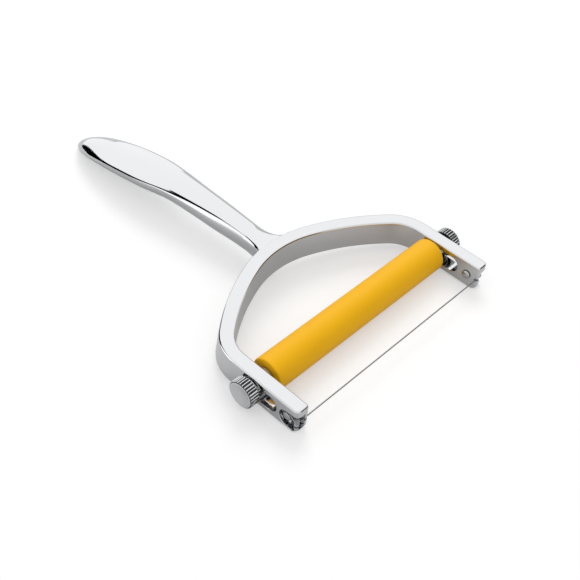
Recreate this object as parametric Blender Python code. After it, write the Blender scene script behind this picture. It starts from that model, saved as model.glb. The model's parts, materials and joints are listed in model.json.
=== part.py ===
"""Wire cheese cutter: a die-cast fork and handle, a taut wire and a roller that sets the slice."""
import bpy
import bmesh
from math import atan2, cos, pi, radians, sin, sqrt
from mathutils import Matrix, Vector

# The fork is drawn with its flat top face at z = 0, the arch's inner crown at y = 0, the
# handle towards +Y and the wire along X. The finished tool is then set down on its resting
# points. All lengths are in metres.

# Running and seating gap between neighbouring pieces, and how far a cutter runs past a face
GAP = 0.0003
OVERRUN = 0.001

# Fork: a band bent into an arch, whose outer wall leans out at its foot, with two straight arms
ARM_GAP = 0.1026
ARM_THICKNESS = 0.0062
ARM_HEIGHT = 0.0125
ARM_REACH = 0.0641
FORK_EDGE_ROUND = 0.0008
FORK_FOOT_ROUND = 0.0012
FOOT_LIMIT_SHARE = 0.9
ROUND_PROFILE_SHARE = 0.5
ARCH_LEAN = 0.0012
TIP_OUTER_ROUND = 0.0023
TIP_INNER_ROUND = 0.0014
TIP_BOW_LENGTH = 0.0023
TIP_BOW_HEIGHT = 0.0034

# The arch's inner line is three arcs a side: radii are shares of half the arm gap
CROWN_RADIUS_SHARE = 0.877
FLANK_RADIUS_SHARE = 2.008
CROWN_ANGLE = radians(20)
FLANK_ANGLE = radians(40)

# Handle: lengths along it, its widest and deepest section and how far its tail hangs
HANDLE_LENGTH = 0.1328
HANDLE_WIDTH = 0.0216
HANDLE_DEPTH = 0.0104
HANDLE_DROP = 0.0220
NOSE_LENGTH = 0.0109
NECK_FILLET = 0.0042
NECK_SKIN = 0.00002
PANEL_CROWN = 0.0006
CREASE_SLOPE = radians(20)
# Along, half width, drop of the panel's edge, depth below it, panel and side line, as shares
HANDLE_SHARES = (
    (0.088, 0.484, 0.118, 0.990, 0.76, 0.17),
    (0.130, 0.512, 0.110, 0.982, 0.73, 0.18),
    (0.216, 0.606, 0.109, 0.978, 0.67, 0.23),
    (0.330, 0.680, 0.140, 0.901, 0.73, 0.19),
    (0.440, 0.786, 0.193, 0.808, 0.74, 0.12),
    (0.554, 0.962, 0.291, 0.809, 0.66, 0.13),
    (0.660, 0.996, 0.399, 0.803, 0.58, 0.15),
    (0.760, 0.948, 0.516, 0.786, 0.48, 0.19),
    (0.859, 0.815, 0.625, 0.780, 0.38, 0.36),
    (0.930, 0.590, 0.757, 0.748, 0.25, 0.42),
    (1.000, 0.316, 0.985, 0.682, 0.15, 0.45),
)
# Shoulder curve: its pull outwards and upwards as shares of the shoulder's width and height,
# and its steepest start as a share of the slope from the panel's edge to the side line
SHOULDER_PULL_SHARE = 0.5
SIDE_PULL_SHARE = 0.55
CREASE_LIMIT_SHARE = 0.7
# The panel's highest crown, as a share of its half width
CROWN_LIMIT_SHARE = 0.1
# How square the sections are where the handle leaves the arch and along the grip: 1 is oval
ROOT_SQUARENESS_SHARE = 0.25
GRIP_SQUARENESS_SHARE = 0.85

# Wire and its two anchors, one in a pocket in the outer face of each tip
WIRE_DIAMETER = 0.00055
WIRE_SETBACK = 0.00075
WIRE_DEPTH = 0.0066
SLIT_HEIGHT = 0.0012
SLIT_DEPTH = 0.0016
POCKET_WALL = 0.0020
POCKET_LENGTH = 0.0089
POCKET_HEIGHT = 0.0080
POCKET_DEPTH = 0.0071
POST_DIAMETER = 0.0022
PIN_DIAMETER = 0.0020
PIN_SETBACK = 0.0055
PIN_DEPTH = 0.0064
PIN_HEAD_DIAMETER = 0.0034
PIN_HEAD_THICKNESS = 0.0005
PIN_DOME_DIAMETER = 0.0040
PIN_DOME_HEIGHT = 0.0010
FERRULE_DIAMETER = 0.0020
FERRULE_LENGTH = 0.0010

# Slots in the arms, and the axle that slides and clamps in them
SLOT_WEB = 0.0014
SLOT_HEIGHT = 0.0072
SLOT_DEPTH = 0.0062
SLOT_BACK_PLAY = 0.0006
SLICE_TRAVEL = 0.0098
AXLE_DEPTH = 0.0059
AXLE_DIAMETER = 0.0060
AXLE_SHOULDER_DIAMETER = 0.0086
AXLE_SHOULDER_LENGTH = 0.0016
THREAD_DEPTH = 0.0130

# Roller
ROLLER_DIAMETER = 0.0147
ROLLER_WALL = 0.0022
ROLLER_EDGE_ROUND = 0.0006
BUSH_LENGTH = 0.0100

# Thumb screws and washers
THUMB_DIAMETER = 0.0119
THUMB_THICKNESS = 0.0044
THUMB_RIM_CHAMFER = 0.0004
THUMB_CHAMFER_BACK = 0.0002
KNURL_DEPTH = 0.00035
KNURL_RIBS = 30
SCREW_DIAMETER = 0.0040
SCREW_LENGTH = 0.0110
SCREW_TIP_CHAMFER = 0.0004
WASHER_DIAMETER = 0.0092
WASHER_THICKNESS = 0.0006

# Levels that follow from the sizes above
arm_inner = ARM_GAP / 2
arm_outer = arm_inner + ARM_THICKNESS
tip_y = -ARM_REACH
wire_radius = WIRE_DIAMETER / 2
wire_y = tip_y + WIRE_SETBACK
post_radius = POST_DIAMETER / 2
post_y = wire_y + wire_radius + GAP + post_radius
pocket_floor = arm_inner + POCKET_WALL
post_x = pocket_floor + GAP + post_radius
pin_y = tip_y + PIN_SETBACK
nose_radius = AXLE_DIAMETER / 2
slot_front = tip_y + POCKET_LENGTH + SLOT_WEB
slot_radius = SLOT_HEIGHT / 2
axle_y = slot_front + nose_radius + GAP + SLICE_TRAVEL
slot_back = axle_y + nose_radius + GAP + SLOT_BACK_PLAY
axle_z = -AXLE_DEPTH
shoulder_face = arm_inner - GAP
roller_end = shoulder_face - AXLE_SHOULDER_LENGTH - GAP
washer_face = arm_outer + GAP
thumb_face = washer_face + WASHER_THICKNESS + GAP
bore_radius = ROLLER_DIAMETER / 2 - ROLLER_WALL


def clear_scene():
    for old in list(bpy.data.objects):
        bpy.data.objects.remove(old, do_unlink=True)


def finish_material(name, colour, roughness, metallic):
    material = bpy.data.materials.new(name)
    material.use_nodes = True
    shader = material.node_tree.nodes["Principled BSDF"]
    shader.inputs["Base Color"].default_value = (*colour, 1.0)
    shader.inputs["Roughness"].default_value = roughness
    shader.inputs["Metallic"].default_value = metallic
    return material


def add_object(name, bm, material, location, parent):
    """Turn a bmesh into a named object, shaded smooth over its round parts."""
    mesh = bpy.data.meshes.new(name)
    bm.to_mesh(mesh)
    bm.free()
    mesh.shade_smooth()
    mesh.set_sharp_from_angle(angle=radians(35))
    mesh.materials.append(material)
    piece = bpy.data.objects.new(name, mesh)
    bpy.context.collection.objects.link(piece)
    piece.parent = parent
    piece.location = location
    return piece


def add_empty(name, location, parent):
    empty = bpy.data.objects.new(name, None)
    bpy.context.collection.objects.link(empty)
    empty.parent = parent
    empty.location = location
    return empty


def cut(piece, cutter, operation="DIFFERENCE"):
    """Boolean with a hidden guide object that stays in the scene as a wire outline."""
    cutter.hide_render = True
    cutter.display_type = "WIRE"
    modifier = piece.modifiers.new(cutter.name, "BOOLEAN")
    modifier.operation = operation
    modifier.solver = "EXACT"
    modifier.object = cutter


def prism_x(outline, x_low, x_high):
    """A prism along X over a closed outline of (y, z) points."""
    bm = bmesh.new()
    face = bm.faces.new([bm.verts.new((x_low, y, z)) for y, z in outline])
    grown = bmesh.ops.extrude_face_region(bm, geom=[face])
    moved = [item for item in grown["geom"] if isinstance(item, bmesh.types.BMVert)]
    bmesh.ops.translate(bm, verts=moved, vec=(x_high - x_low, 0, 0))
    bmesh.ops.recalc_face_normals(bm, faces=bm.faces)
    return bm


def turned(profile, sides, ring=False):
    """Spin an (x, radius) profile about X: open with its ends on the axis, or a closed ring."""
    bm = bmesh.new()
    verts = [bm.verts.new((x, 0, r)) for x, r in profile]
    onward = verts[1:] + verts[:1] if ring else verts[1:]
    edges = [bm.edges.new(pair) for pair in zip(verts, onward)]
    bmesh.ops.spin(bm, geom=verts + edges, cent=(0, 0, 0), axis=(1, 0, 0), dvec=(0, 0, 0),
                   angle=2 * pi, steps=sides, use_merge=True)
    bmesh.ops.remove_doubles(bm, verts=bm.verts, dist=GAP / 30)
    bmesh.ops.recalc_face_normals(bm, faces=bm.faces)
    return bm


def arc(centre, radius, start, end, steps):
    """Points of an arc in a plane, both ends included."""
    turn = [start + (end - start) * i / steps for i in range(steps + 1)]
    return [(centre[0] + radius * cos(a), centre[1] + radius * sin(a)) for a in turn]


def obround(y_front, y_back, z_middle, radius, steps=12):
    """A slot outline in (y, z) with round ends."""
    front = arc((y_front + radius, z_middle), radius, pi / 2, 3 * pi / 2, steps)
    back = arc((y_back - radius, z_middle), radius, -pi / 2, pi / 2, steps)
    return front + back


def arch_arcs():
    """The three arcs of the right-hand inner line, as centre, radius and angles from +X."""
    crown = CROWN_RADIUS_SHARE * arm_inner
    flank = FLANK_RADIUS_SHARE * arm_inner
    crown_centre = (0.0, -crown)
    shift = flank - crown
    flank_centre = (-shift * sin(CROWN_ANGLE), -crown - shift * cos(CROWN_ANGLE))
    flank_end_x = flank_centre[0] + flank * sin(FLANK_ANGLE)
    corner = (arm_inner - flank_end_x) / (1 - sin(FLANK_ANGLE))
    shift = flank - corner
    corner_centre = (flank_centre[0] + shift * sin(FLANK_ANGLE),
                     flank_centre[1] + shift * cos(FLANK_ANGLE))
    return (
        (crown_centre, crown, pi / 2, pi / 2 - CROWN_ANGLE, 5),
        (flank_centre, flank, pi / 2 - CROWN_ANGLE, pi / 2 - FLANK_ANGLE, 7),
        (corner_centre, corner, pi / 2 - FLANK_ANGLE, 0.0, 9),
    )


def half_line(offset, lean):
    """Right-hand line of the arch, crown to arm; the lean fades away where the arm starts."""
    points = []
    for centre, radius, start, end, steps in arch_arcs():
        for i in range(1 if points else 0, steps + 1):
            a = start + (end - start) * i / steps
            reach = radius + offset + lean * min(1.0, sin(a) / cos(FLANK_ANGLE))
            points.append((centre[0] + reach * cos(a), centre[1] + reach * sin(a)))
    return points


def fork_outline(lean):
    """Closed plan outline of the fork, from the outer crown round both arms."""
    outer = half_line(ARM_THICKNESS, lean)
    inner = half_line(0.0, 0.0)
    outer_round = arc((arm_outer - TIP_OUTER_ROUND, tip_y + TIP_OUTER_ROUND),
                      TIP_OUTER_ROUND, 0.0, -pi / 2, 5)
    inner_round = arc((arm_inner + TIP_INNER_ROUND, tip_y + TIP_INNER_ROUND),
                      TIP_INNER_ROUND, -pi / 2, -pi, 4)
    right = outer + outer_round + inner_round + inner[::-1]
    left = [(-x, y) for x, y in right[::-1]]
    return right + left[1:-1]


def fork_mesh():
    bm = bmesh.new()
    foot = [bm.verts.new((x, y, -ARM_HEIGHT)) for x, y in fork_outline(ARCH_LEAN)]
    top = [bm.verts.new((x, y, 0)) for x, y in fork_outline(0.0)]
    bm.faces.new(foot)
    bm.faces.new(top)
    for i in range(len(foot)):
        j = (i + 1) % len(foot)
        bm.faces.new((foot[i], foot[j], top[j], top[i]))
    bmesh.ops.recalc_face_normals(bm, faces=bm.faces)
    # a round wider than the tip's own corner would fold over itself there
    foot_round = min(FORK_FOOT_ROUND, TIP_INNER_ROUND * FOOT_LIMIT_SHARE)
    for level, offset in ((0.0, FORK_EDGE_ROUND), (-ARM_HEIGHT, foot_round)):
        rims = [edge for edge in bm.edges
                if all(abs(vert.co.z - level) < GAP / 10 for vert in edge.verts)]
        bmesh.ops.bevel(bm, geom=rims, offset=offset, affect="EDGES", segments=2,
                        profile=ROUND_PROFILE_SHARE, material=-1)
    return bm


def smooth_through(rows, along):
    """Value of every column at a place along a table, on one smooth curve through its rows."""
    count = len(rows)
    i = max(k for k in range(count - 1) if rows[k][0] <= along or k == 0)
    x0, x1 = rows[i][0], rows[i + 1][0]
    t = (along - x0) / (x1 - x0)
    values = []
    for c in range(1, len(rows[0])):
        a, b = rows[i][c], rows[i + 1][c]
        before, after = rows[max(i - 1, 0)], rows[min(i + 2, count - 1)]
        slope_a = (b - before[c]) / (x1 - before[0]) * (x1 - x0)
        slope_b = (after[c] - a) / (after[0] - x0) * (x1 - x0)
        values.append((2 * t**3 - 3 * t**2 + 1) * a + (t**3 - 2 * t**2 + t) * slope_a
                      + (3 * t**2 - 2 * t**3) * b + (t**3 - t**2) * slope_b)
    return values


def shoulder_line(panel, edge, half, side):
    """Inner points of the curve from the panel's edge, where it starts at a crease, to the side."""
    width, height = half - panel, edge - side
    slope = min(CREASE_SLOPE, atan2(height, width) * CREASE_LIMIT_SHARE)
    pulls = (
        (panel, edge),
        (panel + width * SHOULDER_PULL_SHARE * cos(slope),
         edge - width * SHOULDER_PULL_SHARE * sin(slope)),
        (half, side + height * SIDE_PULL_SHARE),
        (half, side),
    )
    points = []
    for i in range(1, 5):
        t = i / 5
        weights = ((1 - t)**3, 3 * t * (1 - t)**2, 3 * t**2 * (1 - t), t**3)
        points.append([sum(w * pull[c] for w, pull in zip(weights, pulls)) for c in (0, 1)])
    return points


def handle_section(y, half, edge, bottom, panel, side, crown, squareness):
    """One closed ring: a crowned top panel, two creased shoulders and a full underside."""
    ring = []
    for i in range(9):
        share = i / 4 - 1
        ring.append((panel * share, edge + crown * (1 - share * share)))
    turn = shoulder_line(panel, edge, half, side)
    ring += turn
    for i in range(17):
        a = i / 16 * pi
        run = abs(cos(a)) ** squareness * (1 if a < pi / 2 else -1)
        ring.append((half * run, side - (side - bottom) * abs(sin(a)) ** squareness))
    ring += [(-x, z) for x, z in turn[::-1]]
    return [(x, y, z) for x, z in ring]


def handle_rings():
    """Sections from inside the arch, through the neck's fillet, to the round nose."""
    half_width = HANDLE_WIDTH / 2
    neck_along, *neck = HANDLE_SHARES[0]
    neck_half = neck[0] * half_width
    neck_edge = -neck[1] * HANDLE_DROP
    neck_depth = neck[2] * HANDLE_DEPTH
    neck_y = ARM_THICKNESS + neck_along * HANDLE_LENGTH
    crown_radius = CROWN_RADIUS_SHARE * arm_inner + ARM_THICKNESS
    root_half = neck_half + NECK_FILLET
    root_y = ARM_THICKNESS - crown_radius + sqrt(crown_radius**2 - root_half**2)
    # half width, edge, bottom, panel, side line, crown and squareness at both ends of the neck
    root_sizes = (root_half, -NECK_SKIN, NECK_SKIN - ARM_HEIGHT, root_half - FORK_EDGE_ROUND,
                  -NECK_SKIN - FORK_EDGE_ROUND, 0.0, ROOT_SQUARENESS_SHARE)
    neck_sizes = (neck_half, neck_edge, neck_edge - neck_depth, neck_half * neck[3],
                  neck_edge - neck_depth * neck[4], PANEL_CROWN, GRIP_SQUARENESS_SHARE)
    rings = [handle_section(root_y - ARM_THICKNESS / 4, *root_sizes)]
    for i in range(9):
        a = i / 8 * pi / 2
        flare = 1 - sin(a)
        sizes = [n * (1 - flare) + r * flare for n, r in zip(neck_sizes, root_sizes)]
        rings.append(handle_section(root_y + (neck_y - root_y) * (1 - cos(a)), *sizes))
    steps = 30
    nose_start = 1 - NOSE_LENGTH / HANDLE_LENGTH
    places = [neck_along + (nose_start - neck_along) * i / steps for i in range(1, steps + 1)]
    places += [nose_start + (1 - nose_start) * sin(i / 9 * pi / 2) for i in range(1, 9)]
    for along in places:
        width, drop, depth, panel, side = smooth_through(HANDLE_SHARES, along)
        into_nose = max(along - nose_start, 0.0) / (1 - nose_start)
        cap = sqrt(1 - into_nose**2)
        half = width * half_width * cap
        rise = depth * HANDLE_DEPTH / 2 * cap
        middle = -drop * HANDLE_DROP - depth * HANDLE_DEPTH / 2
        rings.append(handle_section(
            ARM_THICKNESS + along * HANDLE_LENGTH, half, middle + rise, middle - rise,
            panel * half, middle + rise * (1 - 2 * side),
            min(PANEL_CROWN, panel * half * CROWN_LIMIT_SHARE), GRIP_SQUARENESS_SHARE))
    return rings


def handle_mesh():
    """Loft the rings; the first is capped inside the arch, the last closes in the nose."""
    bm = bmesh.new()
    loops = [[bm.verts.new(point) for point in ring] for ring in handle_rings()]
    for near, far in zip(loops, loops[1:]):
        count = len(near)
        for i in range(count):
            j = (i + 1) % count
            bm.faces.new((near[i], near[j], far[j], far[i]))
    bm.faces.new(loops[0])
    last = loops[-1]
    middle = sum((vert.co for vert in last), Vector()) / len(last)
    nose = bm.verts.new((0, ARM_THICKNESS + HANDLE_LENGTH, middle.z))
    for i in range(len(last)):
        bm.faces.new((last[i], last[(i + 1) % len(last)], nose))
    bmesh.ops.recalc_face_normals(bm, faces=bm.faces)
    return bm


def tip_bow_outline():
    """What is cut off below and ahead of the tips, so their lower half curves back."""
    front = tip_y - OVERRUN
    bottom = -ARM_HEIGHT - OVERRUN
    centre_y = tip_y + TIP_BOW_LENGTH
    centre_z = -ARM_HEIGHT + TIP_BOW_HEIGHT
    curve = []
    for i in range(9):
        a = i / 8 * pi / 2
        curve.append((centre_y - TIP_BOW_LENGTH * cos(a), centre_z - TIP_BOW_HEIGHT * sin(a)))
    return [(front, centre_z)] + curve + [(centre_y, bottom), (front, bottom)]


def pocket_outline():
    """Round at the back and open at the front of the tip."""
    radius = POCKET_HEIGHT / 2
    back = arc((tip_y + POCKET_LENGTH - radius, -POCKET_DEPTH), radius, -pi / 2, pi / 2, 14)
    front = tip_y - OVERRUN
    return back + [(front, -POCKET_DEPTH + radius), (front, -POCKET_DEPTH - radius)]


def build_frame(material, parent):
    """One casting: fork and handle, with slots, wire pockets, slits and pin holes."""
    frame = add_object("frame_casting", fork_mesh(), material, (0, 0, 0), parent)
    cut(frame, add_object("handle_form", handle_mesh(), material, (0, 0, 0), parent), "UNION")
    past = arm_outer + OVERRUN
    slit_low = -WIRE_DEPTH - SLIT_HEIGHT / 2
    slit_high = -WIRE_DEPTH + SLIT_HEIGHT / 2
    slit = [(tip_y - OVERRUN, slit_low), (tip_y + SLIT_DEPTH, slit_low),
            (tip_y + SLIT_DEPTH, slit_high), (tip_y - OVERRUN, slit_high)]
    pin_hole = arc((pin_y, -PIN_DEPTH), PIN_DIAMETER / 2 + GAP, 0, 2 * pi, 20)[:-1]
    slot = obround(slot_front, slot_back, -SLOT_DEPTH, slot_radius)
    cutters = (
        ("tip_bow_cut", tip_bow_outline(), -past, past),
        ("axle_slot_cut", slot, -past, past),
        ("pin_hole_cut", pin_hole, -past, past),
        ("right_pocket_cut", pocket_outline(), pocket_floor, past),
        ("left_pocket_cut", pocket_outline(), -past, -pocket_floor),
        ("wire_slit_cut", slit, -past, past),
    )
    for name, outline, low, high in cutters:
        cut(frame, add_object(name, prism_x(outline, low, high), material, (0, 0, 0), parent))
    return frame


def wire_half():
    """Right half of the wire's line: across the gap, round the post and round the pin."""
    post_turn = post_radius + GAP + wire_radius
    pin_turn = PIN_DIAMETER / 2 + GAP + wire_radius
    loop_x = post_x + post_turn
    straight = [Vector((post_x * i / 4, wire_y, -WIRE_DEPTH)) for i in (1, 2, 3)]
    around_post = [Vector((x, y, -WIRE_DEPTH))
                   for x, y in arc((post_x, post_y), post_turn, -pi / 2, 0.0, 7)]
    loop = [Vector((loop_x, y, z))
            for y, z in arc((pin_y, -PIN_DEPTH), pin_turn, pi / 2, -pi / 2, 12)]
    leave, arrive = around_post[-1], loop[0]
    reach = (arrive.y - leave.y) / 2
    over = []
    for i in range(1, 6):
        t = i / 6
        pull = (leave, leave + Vector((0, reach, 0)), arrive - Vector((0, reach, 0)), arrive)
        over.append(pull[0] * (1 - t)**3 + pull[1] * 3 * t * (1 - t)**2
                    + pull[2] * 3 * t**2 * (1 - t) + pull[3] * t**3)
    tail = loop[-1] - Vector((0, FERRULE_LENGTH + PIN_DIAMETER / 2 + GAP + wire_radius, 0))
    return straight + around_post + over + loop + [(loop[-1] + tail) / 2, tail]


def build_wire(material, parent):
    """One length of wire from anchor to anchor, swept with a round section."""
    right = wire_half()
    left = [Vector((-point.x, point.y, point.z)) for point in right[::-1]]
    line = left + [Vector((0, wire_y, -WIRE_DEPTH))] + right
    curve = bpy.data.curves.new("cutting_wire", "CURVE")
    curve.dimensions = "3D"
    curve.bevel_depth = wire_radius
    curve.bevel_resolution = 2
    curve.use_fill_caps = True
    spline = curve.splines.new("POLY")
    spline.points.add(len(line) - 1)
    for point, place in zip(spline.points, line):
        point.co = (*place, 1.0)
    curve.materials.append(material)
    wire = bpy.data.objects.new("cutting_wire", curve)
    bpy.context.collection.objects.link(wire)
    wire.parent = parent
    return wire


def build_anchor(side, name, steel, parent):
    """Turning post, domed pin and ferrule of one wire end; side is +1 for the right arm."""
    reach = POCKET_HEIGHT / 2 - GAP
    post = turned([(-reach, 0.0), (-reach, post_radius), (reach, post_radius), (reach, 0.0)], 24)
    bmesh.ops.rotate(post, verts=post.verts, cent=(0, 0, 0), matrix=Matrix.Rotation(pi / 2, 3, "Y"))
    add_object(f"{name}_wire_post", post, steel, (side * post_x, post_y, -POCKET_DEPTH), parent)

    dome = PIN_DOME_DIAMETER / 2
    seat = arm_inner - GAP
    profile = [(seat - PIN_DOME_HEIGHT * cos(i / 6 * pi / 2), dome * sin(i / 6 * pi / 2))
               for i in range(7)]
    shank = PIN_DIAMETER / 2
    head = PIN_HEAD_DIAMETER / 2
    head_x = post_x + post_radius + GAP + WIRE_DIAMETER + GAP
    profile += [(seat, shank), (head_x, shank), (head_x, head),
                (head_x + PIN_HEAD_THICKNESS, head), (head_x + PIN_HEAD_THICKNESS, 0.0)]
    pin = turned([(side * x, r) for x, r in profile], 24)
    add_object(f"{name}_anchor_pin", pin, steel, (0, pin_y, -PIN_DEPTH), parent)

    inner = wire_radius + GAP
    outer = FERRULE_DIAMETER / 2
    half = FERRULE_LENGTH / 2
    walls = [(-half, inner), (-half, outer), (half, outer), (half, inner)]
    sleeve = turned(walls, 20, ring=True)
    bmesh.ops.rotate(sleeve, verts=sleeve.verts, cent=(0, 0, 0),
                     matrix=Matrix.Rotation(pi / 2, 3, "Z"))
    loop_x = post_x + post_radius + GAP + wire_radius
    drop = PIN_DIAMETER / 2 + GAP + wire_radius
    place = (side * loop_x, pin_y - shank - GAP - half, -PIN_DEPTH - drop)
    add_object(f"{name}_wire_ferrule", sleeve, steel, place, parent)


def build_roller(plastic, parent):
    """Yellow sleeve on two end bushes, free to turn on the axle."""
    outer = ROLLER_DIAMETER / 2
    rounding = []
    for i in range(5):
        a = i / 4 * pi / 2
        rounding.append((roller_end - ROLLER_EDGE_ROUND * (1 - sin(a)),
                         outer - ROLLER_EDGE_ROUND * (1 - cos(a))))
    right = rounding + [(roller_end, bore_radius)]
    profile = right + [(-x, r) for x, r in right[::-1]]
    add_object("roller_sleeve", turned(profile, 64, ring=True), plastic, (0, 0, 0), parent)
    bush_outer = bore_radius - GAP
    bush_inner = nose_radius + GAP
    for name, side in (("left", -1), ("right", 1)):
        low = roller_end - BUSH_LENGTH
        walls = [(low, bush_inner), (low, bush_outer), (roller_end, bush_outer),
                 (roller_end, bush_inner)]
        bush = turned([(side * x, r) for x, r in walls], 40, ring=True)
        add_object(f"{name}_roller_bush", bush, plastic, (0, 0, 0), parent)


def build_axle(material, parent):
    """Rod with a shoulder inside each arm, a nose in each slot and a tapped hole in each end."""
    shoulder = AXLE_SHOULDER_DIAMETER / 2
    nose_end = arm_outer - GAP
    tap = SCREW_DIAMETER / 2 + GAP
    floor = nose_end - THREAD_DEPTH
    right = [(floor, 0.0), (floor, tap), (nose_end, tap), (nose_end, nose_radius),
             (shoulder_face, nose_radius), (shoulder_face, shoulder),
             (shoulder_face - AXLE_SHOULDER_LENGTH, shoulder),
             (shoulder_face - AXLE_SHOULDER_LENGTH, nose_radius)]
    profile = right + [(-x, r) for x, r in right[::-1]]
    add_object("roller_axle", turned(profile, 40), material, (0, 0, 0), parent)


def thumb_screw_mesh(side):
    """Knurled head with a chamfered rim and a plain shank into the axle."""
    head = THUMB_DIAMETER / 2
    root = head - KNURL_DEPTH
    face = thumb_face + THUMB_THICKNESS
    shank = SCREW_DIAMETER / 2
    tip = thumb_face - SCREW_LENGTH
    stations = (
        (face, head - KNURL_DEPTH - THUMB_RIM_CHAMFER, head - KNURL_DEPTH - THUMB_RIM_CHAMFER),
        (face - THUMB_RIM_CHAMFER, head, root),
        (thumb_face + THUMB_CHAMFER_BACK, head, root),
        (thumb_face, root, root),
        (thumb_face, shank, shank),
        (tip + SCREW_TIP_CHAMFER, shank, shank),
        (tip, shank - SCREW_TIP_CHAMFER, shank - SCREW_TIP_CHAMFER),
    )
    bm = bmesh.new()
    count = KNURL_RIBS * 4
    loops = []
    for x, crest, valley in stations:
        loop = []
        for i in range(count):
            radius = crest if i % 4 < 2 else valley
            a = 2 * pi * i / count
            loop.append(bm.verts.new((side * x, radius * cos(a), radius * sin(a))))
        loops.append(loop)
    for near, far in zip(loops, loops[1:]):
        for i in range(count):
            j = (i + 1) % count
            bm.faces.new((near[i], near[j], far[j], far[i]))
    bm.faces.new(loops[0])
    bm.faces.new(loops[-1])
    bmesh.ops.recalc_face_normals(bm, faces=bm.faces)
    return bm


def build_clamp(side, name, chrome, steel, parent):
    """Washer over the slot and the thumb screw that clamps it."""
    hole = SCREW_DIAMETER / 2 + GAP
    outer = WASHER_DIAMETER / 2
    back = washer_face + WASHER_THICKNESS
    walls = [(washer_face, hole), (washer_face, outer), (back, outer), (back, hole)]
    washer = turned([(side * x, r) for x, r in walls], 40, ring=True)
    add_object(f"{name}_washer", washer, steel, (0, 0, 0), parent)
    add_object(f"{name}_thumb_screw", thumb_screw_mesh(side), chrome, (0, 0, 0), parent)


def world_points(pieces):
    graph = bpy.context.evaluated_depsgraph_get()
    points = []
    for piece in pieces:
        shown = piece.evaluated_get(graph)
        mesh = shown.to_mesh()
        points += [shown.matrix_world @ vert.co for vert in mesh.vertices]
        shown.to_mesh_clear()
    return points


def lower_hull(points):
    """Underside of the (y, z) outline, from front to back."""
    hull = []
    for point in sorted((p.y, p.z) for p in points):
        while len(hull) > 1:
            (ay, az), (by, bz) = hull[-2], hull[-1]
            if (by - ay) * (point[1] - az) - (bz - az) * (point[0] - ay) > 0:
                break
            hull.pop()
        hull.append(point)
    return hull


def set_down(base, pieces):
    """Tilt and lift the tool so it stands on its tips and tail, centred over the origin."""
    bpy.context.view_layer.update()
    points = world_points(pieces)
    centre = sum((p.y for p in points)) / len(points)
    hull = lower_hull(points)
    front, back = next(pair for pair in zip(hull, hull[1:]) if pair[1][0] >= centre)
    base.rotation_euler.x = -atan2(back[1] - front[1], back[0] - front[0])
    bpy.context.view_layer.update()
    points = world_points(pieces)
    lows = [min(p[i] for p in points) for i in range(3)]
    highs = [max(p[i] for p in points) for i in range(3)]
    base.location = (-(lows[0] + highs[0]) / 2, -(lows[1] + highs[1]) / 2, -lows[2])


def main():
    clear_scene()
    chrome = finish_material("polished_chrome", (0.80, 0.80, 0.82), 0.08, 1.0)
    steel = finish_material("stainless_steel", (0.62, 0.62, 0.64), 0.25, 1.0)
    plastic = finish_material("yellow_plastic", (0.90, 0.52, 0.02), 0.45, 0.0)

    base = add_empty("resting_tilt", (0, 0, 0), None)
    carriage = add_empty("axle_line", (0, axle_y, axle_z), base)
    build_frame(chrome, base)
    build_wire(steel, base)
    build_axle(steel, carriage)
    build_roller(plastic, carriage)
    for name, side in (("left", -1), ("right", 1)):
        build_anchor(side, name, steel, base)
        build_clamp(side, name, chrome, steel, carriage)
    pieces = [item for item in bpy.data.objects if item.type != "EMPTY" and not item.hide_render]
    set_down(base, pieces)


main()
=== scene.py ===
import json
from math import atan2, cos, pi, radians, sin, sqrt

import bpy
import bmesh
from mathutils import Matrix, Vector


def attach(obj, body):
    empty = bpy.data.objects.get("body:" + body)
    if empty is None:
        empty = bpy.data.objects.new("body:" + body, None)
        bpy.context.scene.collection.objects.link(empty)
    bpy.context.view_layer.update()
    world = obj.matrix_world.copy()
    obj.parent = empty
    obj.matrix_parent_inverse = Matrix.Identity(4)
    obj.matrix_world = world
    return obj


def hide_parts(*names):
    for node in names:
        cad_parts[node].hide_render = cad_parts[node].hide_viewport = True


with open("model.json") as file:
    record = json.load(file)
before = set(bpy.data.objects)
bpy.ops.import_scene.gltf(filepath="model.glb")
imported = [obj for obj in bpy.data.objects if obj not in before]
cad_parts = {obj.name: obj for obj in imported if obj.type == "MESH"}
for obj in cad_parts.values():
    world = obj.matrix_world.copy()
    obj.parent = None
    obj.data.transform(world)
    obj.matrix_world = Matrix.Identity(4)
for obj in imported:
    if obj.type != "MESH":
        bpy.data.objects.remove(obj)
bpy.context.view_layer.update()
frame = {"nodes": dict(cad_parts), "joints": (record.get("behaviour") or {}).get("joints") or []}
print("frame loaded,", len(frame["nodes"]), "nodes")

# The fork is drawn flat: top face at z = 0, inner crown at y = 0, handle towards +Y.
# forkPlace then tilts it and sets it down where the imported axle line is.
fork = {
    "armGap": 0.1026, "thickness": 0.0062, "height": 0.0125, "reach": 0.0641,
    "lean": 0.0012, "rimRound": 0.0008, "footRound": 0.0012, "rimSteps": 5,
    "crownRadius": 0.04499, "crownTurn": radians(20), "crownSteps": 22,
    "flankRadius": 0.10301, "flankTurn": radians(20), "flankSteps": 36,
    "cornerSteps": 30,
    "tipOuterRound": 0.0023, "tipInnerRound": 0.0014, "bowLength": 0.0023, "bowHeight": 0.0034,
}
wire = {
    "radius": 0.000275, "setback": 0.00075, "depth": 0.0066, "slitHeight": 0.0012,
    "slitDepth": 0.0016, "postRadius": 0.0011, "pinRadius": 0.0010, "pinSetback": 0.0055,
    "pinDepth": 0.0064, "headRadius": 0.0017, "headThickness": 0.0005, "domeRadius": 0.0020,
    "domeHeight": 0.0010, "ferruleRadius": 0.0010, "ferruleLength": 0.0010,
    "postSoft": 0.0002, "pinSoft": 0.00008, "crimpSoft": 0.0001, "crimpWaist": 0.0003,
}
pocket = {"wall": 0.0020, "length": 0.0089, "height": 0.0080, "depth": 0.0071}
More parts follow.
